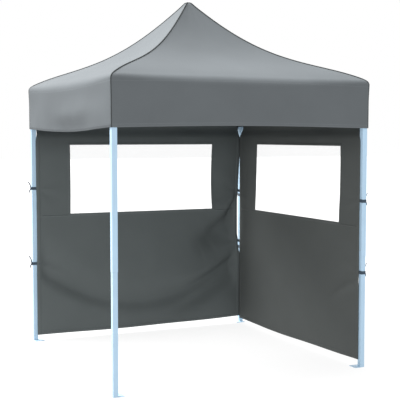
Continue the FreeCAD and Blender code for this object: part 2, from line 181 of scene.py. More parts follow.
class Paint:
    """A node material under construction, with short ways to add nodes."""

    def __init__(self, name, colour, roughness, sockets=None):
        self.material = bpy.data.materials.new(name)
        self.material.use_nodes = True
        self.material.diffuse_color = (*colour, 1)
        self.tree = self.material.node_tree
        self.shader = self.tree.nodes["Principled BSDF"]
        self.colour = colour
        self.shader.inputs["Base Color"].default_value = (*colour, 1)
        self.shader.inputs["Roughness"].default_value = roughness
        for socket, value in (sockets or {}).items():
            self.shader.inputs[socket].default_value = value
        self.bumps = None

    def add(self, kind, settings=None, **inputs):
        node = self.tree.nodes.new(kind)
        for name, value in (settings or {}).items():
            setattr(node, name, value)
        for name, value in inputs.items():
            self.feed(node, name.replace("_", " "), value)
        return node

    def feed(self, node, socket, value):
        if isinstance(value, bpy.types.NodeSocket):
            self.tree.links.new(value, node.inputs[socket])
        else:
            node.inputs[socket].default_value = value

    def math(self, operation, *values):
        node = self.tree.nodes.new("ShaderNodeMath")
        node.operation = operation
        for n, value in enumerate(values):
            self.feed(node, n, value)
        return node.outputs[0]

    def where(self, uv):
        node = self.add("ShaderNodeTexCoord")
        return node.outputs["UV" if uv else "Object"]

    def noise(self, vector, scale, detail=3.0, roughness=0.55):
        inputs = {"Vector": vector, "Scale": scale, "Detail": detail, "Roughness": roughness}
        return self.add("ShaderNodeTexNoise", **inputs).outputs["Fac"]

    def spread(self, value, low, high):
        """A noise, which mostly keeps between 0.3 and 0.7, stretched to run from low to high."""
        limits = {"From_Min": 0.3, "From_Max": 0.7, "To_Min": low, "To_Max": high}
        return self.add("ShaderNodeMapRange", Value=value, **limits).outputs["Result"]

    def tint(self, factor):
        """Multiplies the colour by a factor that varies over the surface."""
        node = self.add("ShaderNodeVectorMath", {"operation": "SCALE"})
        node.inputs[0].default_value = self.colour
        self.feed(node, "Scale", factor)
        self.tree.links.new(node.outputs[0], self.shader.inputs["Base Color"])

    def roughen(self, value):
        self.tree.links.new(value, self.shader.inputs["Roughness"])

    def bump(self, height, strength, distance):
        node = self.add("ShaderNodeBump", Height=height, Strength=strength, Distance=distance)
        if self.bumps:
            self.tree.links.new(self.bumps, node.inputs["Normal"])
        self.bumps = node.outputs["Normal"]
        self.tree.links.new(self.bumps, self.shader.inputs["Normal"])


def stitches(paint, along, across):
    """1 on the threads of a seam line that runs along one direction, 0 elsewhere."""
    near = paint.math("COMPARE", across, 0.0, THREAD_HALF)
    beat = paint.math("FRACT", paint.math("MULTIPLY", along, 1 / STITCH_PITCH))
    return paint.math("MULTIPLY", near, paint.math("LESS_THAN", beat, STITCH_SHARE))


# The walls' painted shade at the top, under the valance: where it starts and ends in metres above the
# ground, and as a factor on the colour.
SHADOW = {"From_Min": 1.50, "From_Max": 1.72, "To_Min": 1.0, "To_Max": 0.76}


def woven(name, colour, seams, shaded=False):
    """Coated woven polyester. Its UVs are metres along the cloth, so that the weave moves with it.

    A shaded one has painted shade at the top: it is darker there, where the valance keeps the daylight
    off it in the photo.
    """
    paint = Paint(name, colour, 0.74, {"Specular IOR Level": 0.18})
    uv = paint.where(uv=True)
    cloud = paint.noise(uv, scale=2.3, detail=4.0)
    grain = paint.noise(uv, scale=160.0, detail=2.0)
    split = paint.add("ShaderNodeSeparateXYZ", Vector=uv)
    u, v = split.outputs["X"], split.outputs["Y"]
    warp = paint.math("SINE", paint.math("MULTIPLY", u, 2 * math.pi / WEAVE_PITCH))
    weft = paint.math("SINE", paint.math("MULTIPLY", v, 2 * math.pi / WEAVE_PITCH))
    weave = paint.math("MULTIPLY", warp, weft)
    thread = 0.0
    for along, line in seams(paint, u, v):
        thread = paint.math("MAXIMUM", thread, stitches(paint, along, line))
    shade = paint.math("MULTIPLY", paint.spread(cloud, 0.955, 1.045), paint.spread(grain, 0.97, 1.03))
    shade = paint.math("MULTIPLY", shade, paint.math("MULTIPLY_ADD", thread, 0.45, 1.0))
    paint.bump(thread, strength=0.4, distance=0.0006)
    if shaded:
        smooth = {"interpolation_type": "SMOOTHSTEP"}
        shadow = paint.add("ShaderNodeMapRange", smooth, Value=v, **SHADOW)
        shade = paint.math("MULTIPLY", shade, shadow.outputs["Result"])
    paint.tint(shade)
    paint.roughen(paint.spread(grain, 0.68, 0.80))
    paint.bump(weave, strength=0.10, distance=0.0003)
    paint.bump(paint.noise(uv, scale=9.0, detail=3.0), strength=0.12, distance=0.004)
    return paint.material


# The stitch rows: on the canopy, two on the valance's hem and one under the eave, above the hem line.
# On the walls, in from a side's edge, up from the foot, up from the cross seam, out from the window.
CANOPY_ROWS = (0.004, 0.020, 0.300)
SIDE_ROW = 0.030
FOOT_ROW = 0.025
SEAM_ROWS = (0.006, -0.006)
WINDOW_ROW = 0.016


def canopy_seams(paint, u, v):
    for level in CANOPY_ROWS:
        yield u, paint.math("SUBTRACT", v, level)


def wall_seams(side):
    """Stitch rows along a wall's side hems, its foot, its cross seam and round its window."""

    def lines(paint, u, v):
        yield v, paint.math("SUBTRACT", paint.math("ABSOLUTE", u), WALL_HALF - SIDE_ROW)
        yield u, paint.math("SUBTRACT", v, WALL_FOOT + FOOT_ROW)
        for row in SEAM_ROWS:
            yield u, paint.math("SUBTRACT", v, SEAM_LEVEL + row)
        wide = paint.math("ABSOLUTE", paint.math("SUBTRACT", u, WINDOW_CENTRE[side]))
        wide = paint.math("SUBTRACT", wide, WINDOW_HALF + WINDOW_ROW)
        middle = (WINDOW_LOW + WINDOW_HIGH) / 2
        tall = paint.math("ABSOLUTE", paint.math("SUBTRACT", v, middle))
        tall = paint.math("SUBTRACT", tall, (WINDOW_HIGH - WINDOW_LOW) / 2 + WINDOW_ROW)
        yield paint.math("ADD", u, v), paint.math("MAXIMUM", wide, tall)

    return lines


def webbing(name, colour):
    """Narrow woven tape: fine cross ribs and a soft nap."""
    paint = Paint(name, colour, 0.75, {"Specular IOR Level": 0.3})
    place = paint.where(uv=False)
    split = paint.add("ShaderNodeSeparateXYZ", Vector=place)
    rib_pitch = 0.0016
    ribs = paint.math("SINE", paint.math("MULTIPLY", split.outputs["Z"], 2 * math.pi / rib_pitch))
    fuzz = paint.noise(place, scale=420.0, detail=3.0)
    paint.tint(paint.spread(fuzz, 0.82, 1.18))
    paint.roughen(paint.spread(fuzz, 0.68, 0.86))
    paint.bump(ribs, strength=0.25, distance=0.0003)
    return paint.material


def powder_coat(name, colour):
    """Powder-coated steel: a fine orange peel, faint clouding, scuffs along the tubes."""
    paint = Paint(name, colour, 0.38, {"Specular IOR Level": 0.45})
    place = paint.where(uv=False)
    stretch = paint.add("ShaderNodeMapping", Vector=place, Scale=(90.0, 90.0, 6.0))
    scuffs = paint.noise(stretch.outputs["Vector"], scale=1.0, detail=4.0, roughness=0.6)
    cloud = paint.noise(place, scale=7.0, detail=3.0)
    peel = paint.noise(place, scale=700.0, detail=1.0)
    shade = paint.math("MULTIPLY", paint.spread(cloud, 0.97, 1.03), paint.spread(scuffs, 0.975, 1.02))
    paint.tint(shade)
    paint.roughen(paint.spread(scuffs, 0.30, 0.46))
    paint.bump(peel, strength=0.12, distance=0.0004)
    return paint.material


def moulded(name, colour):
    """Injection-moulded nylon with a spark-eroded grain."""
    paint = Paint(name, colour, 0.55, {"Specular IOR Level": 0.4})
    place = paint.where(uv=False)
    grain = paint.noise(place, scale=1300.0, detail=2.0)
    cloud = paint.noise(place, scale=18.0, detail=3.0)
    paint.tint(paint.spread(cloud, 0.90, 1.10))
    paint.roughen(paint.spread(grain, 0.46, 0.64))
    paint.bump(grain, strength=0.3, distance=0.0003)
    return paint.material


def zinc(name, colour):
    """Bright zinc-plated spring steel with a drawn finish."""
    paint = Paint(name, colour, 0.3, {"Metallic": 1.0})
    place = paint.where(uv=False)
    stretch = paint.add("ShaderNodeMapping", Vector=place, Scale=(900.0, 900.0, 60.0))
    drawn = paint.noise(stretch.outputs["Vector"], scale=1.0, detail=3.0)
    paint.tint(paint.spread(drawn, 0.9, 1.08))
    paint.roughen(paint.spread(drawn, 0.22, 0.42))
    paint.bump(drawn, strength=0.1, distance=0.0001)
    return paint.material


def clear_film(name):
    """Clear soft PVC: nearly invisible, with a little haze and ripple in its gloss."""
    paint = Paint(name, (0.95, 0.97, 0.98), 0.12, {"IOR": 1.5, "Alpha": 0.06})
    uv = paint.where(uv=True)
    haze = paint.noise(uv, scale=6.0, detail=3.0)
    paint.roughen(paint.spread(haze, 0.08, 0.2))
    paint.tint(paint.spread(haze, 0.97, 1.0))
    paint.bump(paint.noise(uv, scale=4.0, detail=2.0), strength=0.15, distance=0.004)
    paint.material.surface_render_method = "BLENDED"
    return paint.material


steel = powder_coat("painted_steel", (0.405, 0.570, 0.720))
plastic = moulded("moulded_plastic", (0.045, 0.048, 0.052))
bare = zinc("bare_steel", (0.62, 0.63, 0.65))
roof_cloth = woven("canopy_fabric", (0.108, 0.120, 0.128), canopy_seams)
piping_cloth = webbing("canopy_piping", (0.040, 0.046, 0.048))
# The right wall's colour is darker than the rear one's: painted shade, because both walls are the same
# cloth.
WALL_COLOURS_PAINTED_SHADE = {"rear": (0.098, 0.112, 0.113), "right": (0.080, 0.087, 0.085)}
wall_cloth = {
    side: woven(f"wall_fabric_{side}", colour, wall_seams(side), shaded=True)
    for side, colour in WALL_COLOURS_PAINTED_SHADE.items()
}
tie_cloth = webbing("tie_webbing", (0.040, 0.062, 0.088))
film = clear_film("window_film")


# ---------------------------------------------------------------- the steel frame

SOFT_NODES = ("canopy", "wall_rear", "wall_right", "window_rear", "window_right")
PLASTIC_STARTS = ("bracket_", "slider_", "joint_", "centre_hub", "mast_cap")
BUTTON_STARTS = ("height_button_", "lock_button_")


def dress_frame():
    """Materials for every CAD node that stays in view, and eased edges on the square tubes."""
    for name, node in frame["nodes"].items():
        if name in SOFT_NODES:
            continue
        material, slot = steel, "painted_steel"
        if name.startswith(PLASTIC_STARTS):
            material, slot = plastic, "moulded_plastic"
        elif name.startswith(BUTTON_STARTS):
            material, slot = bare, "bare_steel"
        node.data.materials.clear()
        node.data.materials.append(material)
        if name.startswith(("leg_", "inner_leg_")):
            weld = node.modifiers.new("weld", "WELD")
            weld.merge_threshold = 0.00002
            bevel = node.modifiers.new("eased_edges", "BEVEL")
            bevel.width = 0.0022
            bevel.segments = 3
            bevel.limit_method = "ANGLE"
            bevel.angle_limit = math.radians(50)
            bevel.harden_normals = True


dress_frame()


# ---------------------------------------------------------------- cloth that follows the legs

# How far a leg travels inwards along each axis, and where the walls' plane ends up relative to it.
LEG_TRAVEL = 0.830
FOLDED_PLANE = 0.990
# Half the plan size over which the legs' shares change. Outside it, one leg carries the cloth.
SHARE_HALF = 0.90
LEAST_SHARE = 0.0005


def leg_shares(u, v):
    """How much each leg carries the fabric at a place in plan, -1 to 1 each way. They add up to 1."""
    return {
        "front_left": (1 - u) * (1 - v) / 4,
        "front_right": (1 + u) * (1 - v) / 4,
        "rear_right": (1 + u) * (1 + v) / 4,
        "rear_left": (1 - u) * (1 + v) / 4,
    }


def follow(piece, shares):
    """Hooks a piece of cloth on the hub body to the bodies that carry it. They only ever slide."""
    weights = {}
    for vertex in piece.data.vertices:
        for body, share in shares(vertex.co).items():
            if share > LEAST_SHARE:
                weights.setdefault(body, []).append((vertex.index, share))
    for body, entries in weights.items():
        group = piece.vertex_groups.new(name=body)
        for index, share in entries:
            group.add([index], share, "REPLACE")
        hook = piece.modifiers.new(f"follow_{body}", "HOOK")
        hook.object = bodies[body]
        hook.matrix_inverse = bodies[body].matrix_world.inverted()
        hook.vertex_group = body
        hook.falloff_type = "NONE"
        hook.strength = 1.0


def in_plan(value):
    """A place in plan along one axis, from -1 at the legs of one side to 1 at the other side's."""
    return clamp(value / SHARE_HALF, -1, 1)


def roof_shares(co):
    """The legs carry the roof. Towards the peak the mast lowers it as well."""
    shares = {f"leg_{leg}": share for leg, share in leg_shares(in_plan(co.x), in_plan(co.y)).items()}
    shares["mast"] = 0.9 * clamp((co.z - EAVE) / (ROOF_RISE * 0.97))
    return shares


def wall_shares(side, co):
    """The wall's legs carry it, and below the windows the sliding lower tubes gather it up.

    Between the legs it lags a little as the frame folds, so that it ends up outside the bars that
    swing down there.
    """
    s = co.x if side == "rear" else -co.y
    lag = (FOLDED_PLANE - wall_plane(side, s, co.z)) * ease(co.z, 1.00, 1.11)
    lag *= (1 - ease(co.z, 1.76, 1.80)) * (1 - ease(abs(s), 0.915, WALL_HALF))
    pull = 1 - max(lag, 0.0) / LEG_TRAVEL
    u, v = (in_plan(co.x), pull) if side == "rear" else (pull, in_plan(co.y))
    low = clamp((WINDOW_LOW - co.z) / (WINDOW_LOW - WALL_FOOT))
    shares = {}
    for leg, share in leg_shares(u, v).items():
        shares[f"leg_{leg}"] = share * (1 - low)
        shares[f"inner_leg_{leg}"] = share * low
    return shares


def new_piece(name, points, faces, material, uvs=None):
    """A mesh object in the shared frame. uvs holds one (u, v) per point."""
    mesh = bpy.data.meshes.new(name)
    mesh.from_pydata([tuple(p) for p in points], [], faces)
    if uvs:
        layer = mesh.uv_layers.new(name="cloth")
        for loop in mesh.loops:
            layer.data[loop.index].uv = uvs[loop.vertex_index]
    mesh.materials.append(material)
    mesh.validate()
    mesh.shade_smooth()
    piece = bpy.data.objects.new(name, mesh)
    scene.collection.objects.link(piece)
    return piece


def thicken(piece, thickness, offset=0.0):
    modifier = piece.modifiers.new("thickness", "SOLIDIFY")
    modifier.thickness = thickness
    modifier.offset = offset
    modifier.use_even_offset = False


def joined(shapes):
    """The points and faces of several shapes as one."""
    points, faces = [], []
    for more, own_faces in shapes:
        start = len(points)
        points += more
        faces += [tuple(start + index for index in face) for face in own_faces]
    return points, faces


def grid_faces(across, up, hole=None):
    """Quads between the points of a grid, but for the ones inside the hole (left, right, low, high)."""
    width = len(across)
    faces = []
    for row in range(len(up) - 1):
        z = (up[row] + up[row + 1]) / 2
        for column in range(width - 1):
            s = (across[column] + across[column + 1]) / 2
            if hole and hole[0] < s < hole[1] and hole[2] < z < hole[3]:
                continue
            a = row * width + column
            faces.append((a, a + 1, a + 1 + width, a + width))
    return faces


def tube(path, radius, sides=8, flat=1.0):
    """A closed tube that follows a path, with one radius or a list. flat scales its second axis."""
    points, faces = [], []
    up = Vector((0.31, 0.17, 0.93)).normalized()
    for n, here in enumerate(path):
        back, on = path[max(n - 1, 0)], path[min(n + 1, len(path) - 1)]
        forward = (on - back).normalized()
        first = forward.cross(up).normalized()
        up = first.cross(forward).normalized()
        size = radius[n] if isinstance(radius, (list, tuple)) else radius
        for side in range(sides):
            angle = 2 * math.pi * side / sides
            points.append(here + first * size * math.cos(angle) + up * size * flat * math.sin(angle))
    for n in range(len(path) - 1):
        for side in range(sides):
            a = n * sides + side
            b = n * sides + (side + 1) % sides
            faces.append((a, b, b + sides, a + sides))
    last = (len(path) - 1) * sides
    faces.append(tuple(reversed(range(sides))))
    faces.append(tuple(range(last, last + sides)))
    return points, faces


# ---------------------------------------------------------------- canopy

# The hem's height at the corners. The tuples hold the front, right, rear and left side's values.
HEM_CORNER = 1.774
HEM_MIDDLE = (1.787, 1.770, 1.780, 1.748)
EAVE_DIP = (0.020, 0.016, 0.020, 0.016)
VALANCE_WAVE = (0.0035, 0.005, 0.005, 0.009)
LEFT = 3
PANEL_HOLLOW = 0.012
PANEL_RIPPLE = 0.0025
# How far the mast's cap pushes the cloth up at the peak, and the dome on top, as (reach, rise).
KNOB_RISE = 0.002
KNOB_FADE = 0.040
KNOB_DOME = ((0.0, 0.004), (0.010, 0.003))
# The eave's rounding, inwards and downwards: its size at the corners, and what the middle adds.
ROUND_IN = (0.035, 0.045)
ROUND_DOWN = (0.030, 0.035)
CORNER_CURVE = 0.010
# The hem, turned in and up, as (inset from the outer side, rise above the hem line).
HEM_FOLD = ((0.0045, -0.001), (0.0060, 0.001), (0.0062, 0.012), (0.0062, 0.024))
# The piping's radius on the valance, and what it has more on the roof.
PIPING_RADIUS = 0.0034
PIPING_EXTRA = 0.0016
SIDE_STEPS = 56
CORNER_STEPS = 4
ROOF_RINGS = 36
EDGE_RINGS = 8
VALANCE_RINGS = 12


def ridge_height(reach):
    """The roof's concave line from the eave up to the peak."""
    way = CANOPY_HALF - reach
    return EAVE + ROOF_RISE * sum(c * way ** (n + 1) for n, c in enumerate(ROOF_SHAPE))


def between(s):
    """1 at the middle of a side, 0 at its corners."""
    return 1 - s * s


def roof_height(reach, side, s):
    """The panels pull in a little between their ridge seams, most of all at the eave."""
    slack = between(s)
    dip = EAVE_DIP[side] * slack * reach**2.5
    hollow = PANEL_HOLLOW * slack * reach * (1 - reach) * 4
    ripple = noise.noise(Vector((s * 2.1 + side * 5.3, reach * 4.0, 1.7)))
    return ridge_height(reach) - dip - hollow + PANEL_RIPPLE * ripple * slack


def hem_height(side, s):
    return HEM_CORNER + (HEM_MIDDLE[side] - HEM_CORNER) * between(s) ** 1.3


def valance_push(side, s, t):
    """How far out the valance stands, t of the way down it. The left one bulges and tucks in."""
    wave = noise.noise(Vector((s * 1.7 + side * 3.1, t * 0.9, 4.4)))
    wave += 0.45 * noise.noise(Vector((s * 4.1 + side * 2.7, t * 1.6, 8.2)))
    push = VALANCE_WAVE[side] * wave * 2.0 * between(s) ** 0.6 * ease(t, 0.0, 0.75)
    if side == LEFT:
        push += 0.010 * between(s) * ease(t, 0.0, 0.55)
        push -= 0.034 * between(s) * hump(s, 0.05, 0.55) * ease(t, 0.55, 1.0)
    return push


def canopy_section(side, s):
    """The cloth's line from the peak to the folded hem, as (reach, height, outward push)."""
    top = ridge_height(PEAK_HALF) + KNOB_RISE
    line = [(reach, top + rise, 0.0) for reach, rise in KNOB_DOME]
    round_in = ROUND_IN[0] + ROUND_IN[1] * between(s)
    roof_edge = CANOPY_HALF - round_in
    for n in range(ROOF_RINGS + 1):
        reach = PEAK_HALF + (roof_edge - PEAK_HALF) * (n / ROOF_RINGS) ** 1.25
        knob = KNOB_RISE * (1 - ease(reach, PEAK_HALF, PEAK_HALF + KNOB_FADE))
        line.append((reach, roof_height(reach, side, s) + knob, 0.0))
    # The eave is a quadratic curve that leaves the roof along its slope and ends upright.
    start = Vector((roof_edge, roof_height(roof_edge, side, s)))
    slope = (start.y - roof_height(roof_edge + 0.01, side, s)) / 0.01
    corner = Vector((CANOPY_HALF, start.y - slope * round_in * 0.75))
    end = Vector((CANOPY_HALF, corner.y - (ROUND_DOWN[0] + ROUND_DOWN[1] * between(s))))
    for n in range(1, EDGE_RINGS + 1):
        t = n / EDGE_RINGS
        p = start * (1 - t) ** 2 + corner * 2 * t * (1 - t) + end * t**2
        line.append((p.x, p.y, 0.0))
    hem = hem_height(side, s)
    for n in range(1, VALANCE_RINGS + 1):
        t = n / VALANCE_RINGS
        reach = CANOPY_HALF - 0.003 * ease(t, 0, 0.4)
        line.append((reach, end.y + (hem - end.y) * t, valance_push(side, s, t)))
    last = line[-1][2]
    line += [(CANOPY_HALF - inset, hem + rise, last) for inset, rise in HEM_FOLD]
    return line


def canopy_columns():
    """(side, s, corner angle or None) for every line down the cloth, once round the tent."""
    columns = []
    for side in range(4):
        for n in range(SIDE_STEPS + 1):
            columns.append((side, -1 + 2 * n / SIDE_STEPS, None))
        for n in range(1, CORNER_STEPS):
            columns.append((side, 1.0, math.pi / 2 * n / CORNER_STEPS))
    return columns


def on_canopy(side, s, turn, reach, height, push):
    """A point of the square ring of that reach, with its corners rounded."""
    curve = min(CORNER_CURVE, 0.45 * reach)
    if turn is None:
        local = Vector((s * (reach - curve), -reach - push))
    else:
        centre = Vector((reach - curve, -reach + curve))
        local = centre + Vector((math.sin(turn), -math.cos(turn))) * curve
    x, y = local
    for _ in range(side):
        x, y = -y, x
    return Vector((x, y, height))


# For the UVs: how far the eave is above the hem, how much longer the slope is than its plan, and how
# far below the hem line the part that is turned in starts.
EAVE_LEVEL = 0.335
SLOPE_STRETCH = 1.1
TURNED_IN_GAP = 0.05


def canopy_uv(side, s, turn, ring, reach, height):
    """Metres round the tent, and metres up from the hem: upright on the valance, then up the slope."""
    along = side * 2 * CANOPY_HALF + s * reach + 0.003 * (turn or 0)
    roof_end = len(KNOB_DOME) + ROOF_RINGS + 1
    level = height - hem_height(side, s)
    if ring <= roof_end:
        level = EAVE_LEVEL + (CANOPY_HALF - reach) * SLOPE_STRETCH
    turned_in = ring > roof_end + EDGE_RINGS + VALANCE_RINGS
    return (along, -TURNED_IN_GAP - level if turned_in else level)


def make_canopy():
    columns = canopy_columns()
    count = len(columns)
    lines = [canopy_section(side, s) for side, s, _ in columns]
    rings = len(lines[0])
    points = [Vector((0, 0, lines[0][0][1]))]
    uvs = [(0.0, 2.0)]
    for ring in range(1, rings):
        for line, (side, s, turn) in zip(lines, columns):
            reach, height, push = line[ring]
            points.append(on_canopy(side, s, turn, reach, height, push))
            uvs.append(canopy_uv(side, s, turn, ring, reach, height))
    faces = []
    for column in range(count):
        following = (column + 1) % count
        faces.append((0, 1 + column, 1 + following))
        for ring in range(rings - 2):
            a = 1 + ring * count + column
            b = 1 + ring * count + following
            faces.append((a, a + count, b + count, b))
    canopy = new_piece("canopy_cloth", points, faces, roof_cloth, uvs)
    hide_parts("canopy")
    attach(canopy, "hub")
    follow(canopy, roof_shares)
    thicken(canopy, CLOTH_THICKNESS, offset=-1.0)
    return canopy


def make_piping():
    """The dark binding from the peak down the four ridge seams and the valance's corners."""
    runs = []
    for side in range(4):
        path, sizes = [], []
        for reach, height, _ in canopy_section(side, 1.0)[: -len(HEM_FOLD)]:
            spot = on_canopy(side, 1.0, math.pi / 4, reach, height, 0.0)
            outward = Vector((spot.x, spot.y, 0)).normalized()
            lift = 0.002 if height > EAVE + 0.02 else 0.0
            path.append(spot + Vector((0, 0, lift)) + outward * 0.0005)
            sizes.append(PIPING_RADIUS + PIPING_EXTRA * ease(height, EAVE - 0.06, EAVE + 0.02))
        runs.append(tube(path, sizes))
    piping = new_piece("canopy_piping", *joined(runs), piping_cloth)
    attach(piping, "hub")
    follow(piping, roof_shares)
    return piping


canopy = make_canopy()
piping = make_piping()


# ---------------------------------------------------------------- side walls

# The rear wall's corner pleat, from the upper right tie down and inwards, as (across, height).
CORNER_FOLD = (
    (0.945, 1.220),
    (0.905, 1.130),
    (0.850, 1.040),
    (0.785, 0.960),
    (0.710, 0.890),
    (0.625, 0.830),
    (0.530, 0.785),
    (0.430, 0.755),
)

# How far the wall swells in and out, and how high the small creases at the ties are.
BROAD_SWELL = 0.006
FINE_SWELL = 0.0015
TIE_CREASE = 0.0045
TIE_CREASE_REACH = 0.13


def lip(distance, above, below):
    """The section of a soft fold: it swells slowly down to its edge, then drops back sharply."""
    return hump(distance, 0, above if distance > 0 else below)


def fold(z, height, slope, above, below):
    """A fold along a line that is at that height and has that slope here."""
    return lip((z - height) / math.hypot(1, slope), above, below)


def hanging_fold(s, z, bottom, sag, above, below):
    """A fold along a parabola that hangs down to the height bottom at the wall's middle."""
    return fold(z, bottom + sag * s * s, 2 * sag * s, above, below)


def off_line(s, z, knots):
    """The signed distance from a line of knots, positive above it, and the way along it, 0 to 1."""
    best = (9.0, 0.0, 1.0)
    for n, ((s0, z0), (s1, z1)) in enumerate(zip(knots, knots[1:])):
        ds, dz = s1 - s0, z1 - z0
        t = clamp(((s - s0) * ds + (z - z0) * dz) / (ds * ds + dz * dz))
        gap = math.hypot(s - s0 - t * ds, z - z0 - t * dz)
        if gap < best[0]:
            over = (s - s0) * dz - (z - z0) * ds
            best = (gap, (n + t) / (len(knots) - 1), over)
    return math.copysign(best[0], best[2]), best[1]


def tie_pull(side, s, z):
    """Small creases that run out of each tie."""
    total = 0.0
    for end, levels in TIE_LEVELS[side].items():
        for order, level in enumerate(levels):
            across, up = (end * WALL_HALF - s) * end, z - level
            reach = math.hypot(across, up)
            angle = math.atan2(up, max(across, 0.001))
            rays = math.cos(7 * angle + 1.3 * order + (0.8 if side == "rear" else 2.1))
            total += TIE_CREASE * rays * ease(reach, 0.01, 0.07) * math.exp(-reach / TIE_CREASE_REACH)
    return total


def rear_swag(s, z):
    """The slack fold that hangs between the rear wall's lower ties, sharper to the right.

    A smaller one lies under its right half.
    """
    right = ease(s, 0.0, 0.65)
    hem = 1 - ease(s, 0.88, WALL_HALF)
    depth = 0.038 + 0.032 * right * hem + 0.012 * (1 - ease(abs(s + 0.6), 0.0, 0.35))
    above, below = 0.15 - 0.10 * right, 0.065 + 0.030 * right
    main = depth * hanging_fold(s, z, 0.262, 0.40, above, below)
    second_depth = 0.036 * ease(s, 0.15, 0.6) * hem
    return main + second_depth * hanging_fold(s, z, 0.128, 0.42, 0.040, 0.060)


def corner_fold(s, z):
    """A deep pleat that runs down and inwards from the rear wall's upper right tie."""
    if s < 0.2 or z > 1.40:
        return 0.0
    distance, way = off_line(s, z, CORNER_FOLD)
    valley = 0.072 * ease(way, -0.08, 0.30) * (1 - ease(way, 0.55, 1.0))
    ridge = 0.040 * ease(way, 0.0, 0.15) * (1 - ease(way, 0.25, 0.60))
    spread = 0.35 + 0.65 * ease(way, 0.0, 0.5)
    total = valley * lip(distance + 0.035 * spread, 0.075 * spread, 0.135 * spread)
    total -= ridge * lip(distance - 0.02 * spread, 0.13 * spread, 0.06 * spread)
    return total * (1 - ease(s, 0.895, WALL_HALF))


def swell(side, s, z):
    """How far the wall stands inwards of its flat plane."""
    low = ease(WINDOW_LOW - z, 0.0, 0.25)
    broad = noise.noise(Vector((s * 1.6 + (0 if side == "rear" else 9), z * 1.3, 2.5)))
    fine = noise.noise(Vector((s * 6, z * 6, 5.0)))
    total = BROAD_SWELL * broad + FINE_SWELL * fine
    total += tie_pull(side, s, z)
    if side == "rear":
        total -= low * rear_swag(s, z)
        total -= corner_fold(s, z)
        # A crease that slants inwards from the left lower tie. The other wall has one on its right.
        crease = 0.646 - 0.45 * (s + WALL_HALF)
        total += 0.010 * ease(-s, 0.55, 0.85) * fold(z, crease, -0.45, 0.03, 0.03)
    else:
        crease = 0.66 - 0.50 * (0.967 - s)
        total += 0.012 * ease(s, 0.50, 0.85) * fold(z, crease, 0.5, 0.030, 0.035)
        total += 0.006 * hump(s, 0.1, 0.5) * hump(z, 0.55, 0.35)
    # A soft bulge above the windows.
    total += 0.010 * ease(z, 1.55, 1.72) * hump(s, 0.45, 0.12) * (1 - ease(z, 1.74, 1.82))
    # Next to the legs the cloth doesn't stand outwards, where it would meet their inner faces.
    if total < 0:
        total *= ease(WALL_HALF - abs(s), 0.010, 0.080)
    edge = ease(WALL_HALF - abs(s), 0.0, 0.05)
    return total * (0.25 + 0.75 * edge) * (1 - ease(z, 1.72, 1.80))


# For each wall and end: how far the side hem reaches past its edge in the CAD, how far it bows in
# between the ties, and the share of that bow which is left above, at and below them.
SIDE_HEMS = {
    ("rear", -1): (0.014, 0.003, 0.2),
    ("rear", 1): (0.0068, 0.028, 0.65),
    ("right", -1): (0.0036, 0.003, 0.2),
    ("right", 1): (0.019, 0.003, 0.2),
}


def edge_bow(side, s, z):
    """How far the cloth is shifted along the wall at its side hems."""
    end = 1 if s > 0 else -1
    high, low = TIE_LEVELS[side][end]
    overlap, depth, slack = SIDE_HEMS[side, end]
    if z > high:
        bow = slack * (1 - ease(z, high, high + 0.42))
    elif z > low:
        bow = slack + (1 - slack) * ease(z, low, low + 0.08) * (1 - ease(z, high - 0.08, high))
    else:
        bow = slack * ease(z, low - 0.14, low - 0.02)
    reach = (overlap - depth * bow) * (1 - ease(z, 1.67, 1.75))
    return end * reach * ease(abs(s), 0.78, WALL_HALF)


def window_shift(side, s, z):
    """The window's upright edges aren't quite straight."""
    t = clamp((z - WINDOW_LOW) / (WINDOW_HIGH - WINDOW_LOW))
    level = math.sin(math.pi * t)
    centre = WINDOW_CENTRE[side]
    to_left, to_right = (hump(s, centre + sign * WINDOW_HALF, 0.09) for sign in (-1, 1))
    near = ease(z, WINDOW_LOW - 0.25, WINDOW_LOW) * (1 - ease(z, WINDOW_HIGH, WINDOW_HIGH + 0.06))
    if side == "rear":
        return near * (to_right * -0.009 * level + to_left * 0.002 * level)
    return near * (to_left * (0.024 * t - 0.010) + to_right * (0.006 * level + 0.006 * t))


# The hem's line bends the cloth up to this height, and fades out over this much.
HEM_LINE_TOP = 0.35
HEM_LINE_FADE = 0.30


def hem_line(side, s):
    """How far the wall's foot is above the CAD's straight one."""
    if side == "rear":
        return -0.004 + 0.012 * (s + 0.25) ** 2 + 0.0015 * math.sin(7 * s)
    return -0.021 + 0.012 * (s - 0.1) ** 2 + 0.002 * math.sin(6 * s) + 0.0132 * (s + WALL_HALF)


def wall_plane(side, s, z):
    """How far out the wall's cloth is."""
    return WALL_SKIN + (WALL_OUTSIDE - WALL_SKIN) * ease(z, *WALL_BEND) - swell(side, s, z)


def on_wall(side, s, z, outward=0.0):
    plane = wall_plane(side, s, z) + outward
    along = s + edge_bow(side, s, z) + window_shift(side, s, z)
    level = z + hem_line(side, s) * clamp((HEM_LINE_TOP - z) / HEM_LINE_FADE)
    return Vector((along, plane, level)) if side == "rear" else Vector((plane, -along, level))


def steps(marks, pitch):
    """Even steps between the marks, which are all kept."""
    values = [marks[0]]
    for low, high in zip(marks, marks[1:]):
        count = max(1, math.ceil((high - low) / pitch))
        values += [low + (high - low) * n / count for n in range(1, count + 1)]
    return values


def window_sides(side):
    """Where the window opening starts and ends along its wall."""
    return WINDOW_CENTRE[side] - WINDOW_HALF, WINDOW_CENTRE[side] + WINDOW_HALF


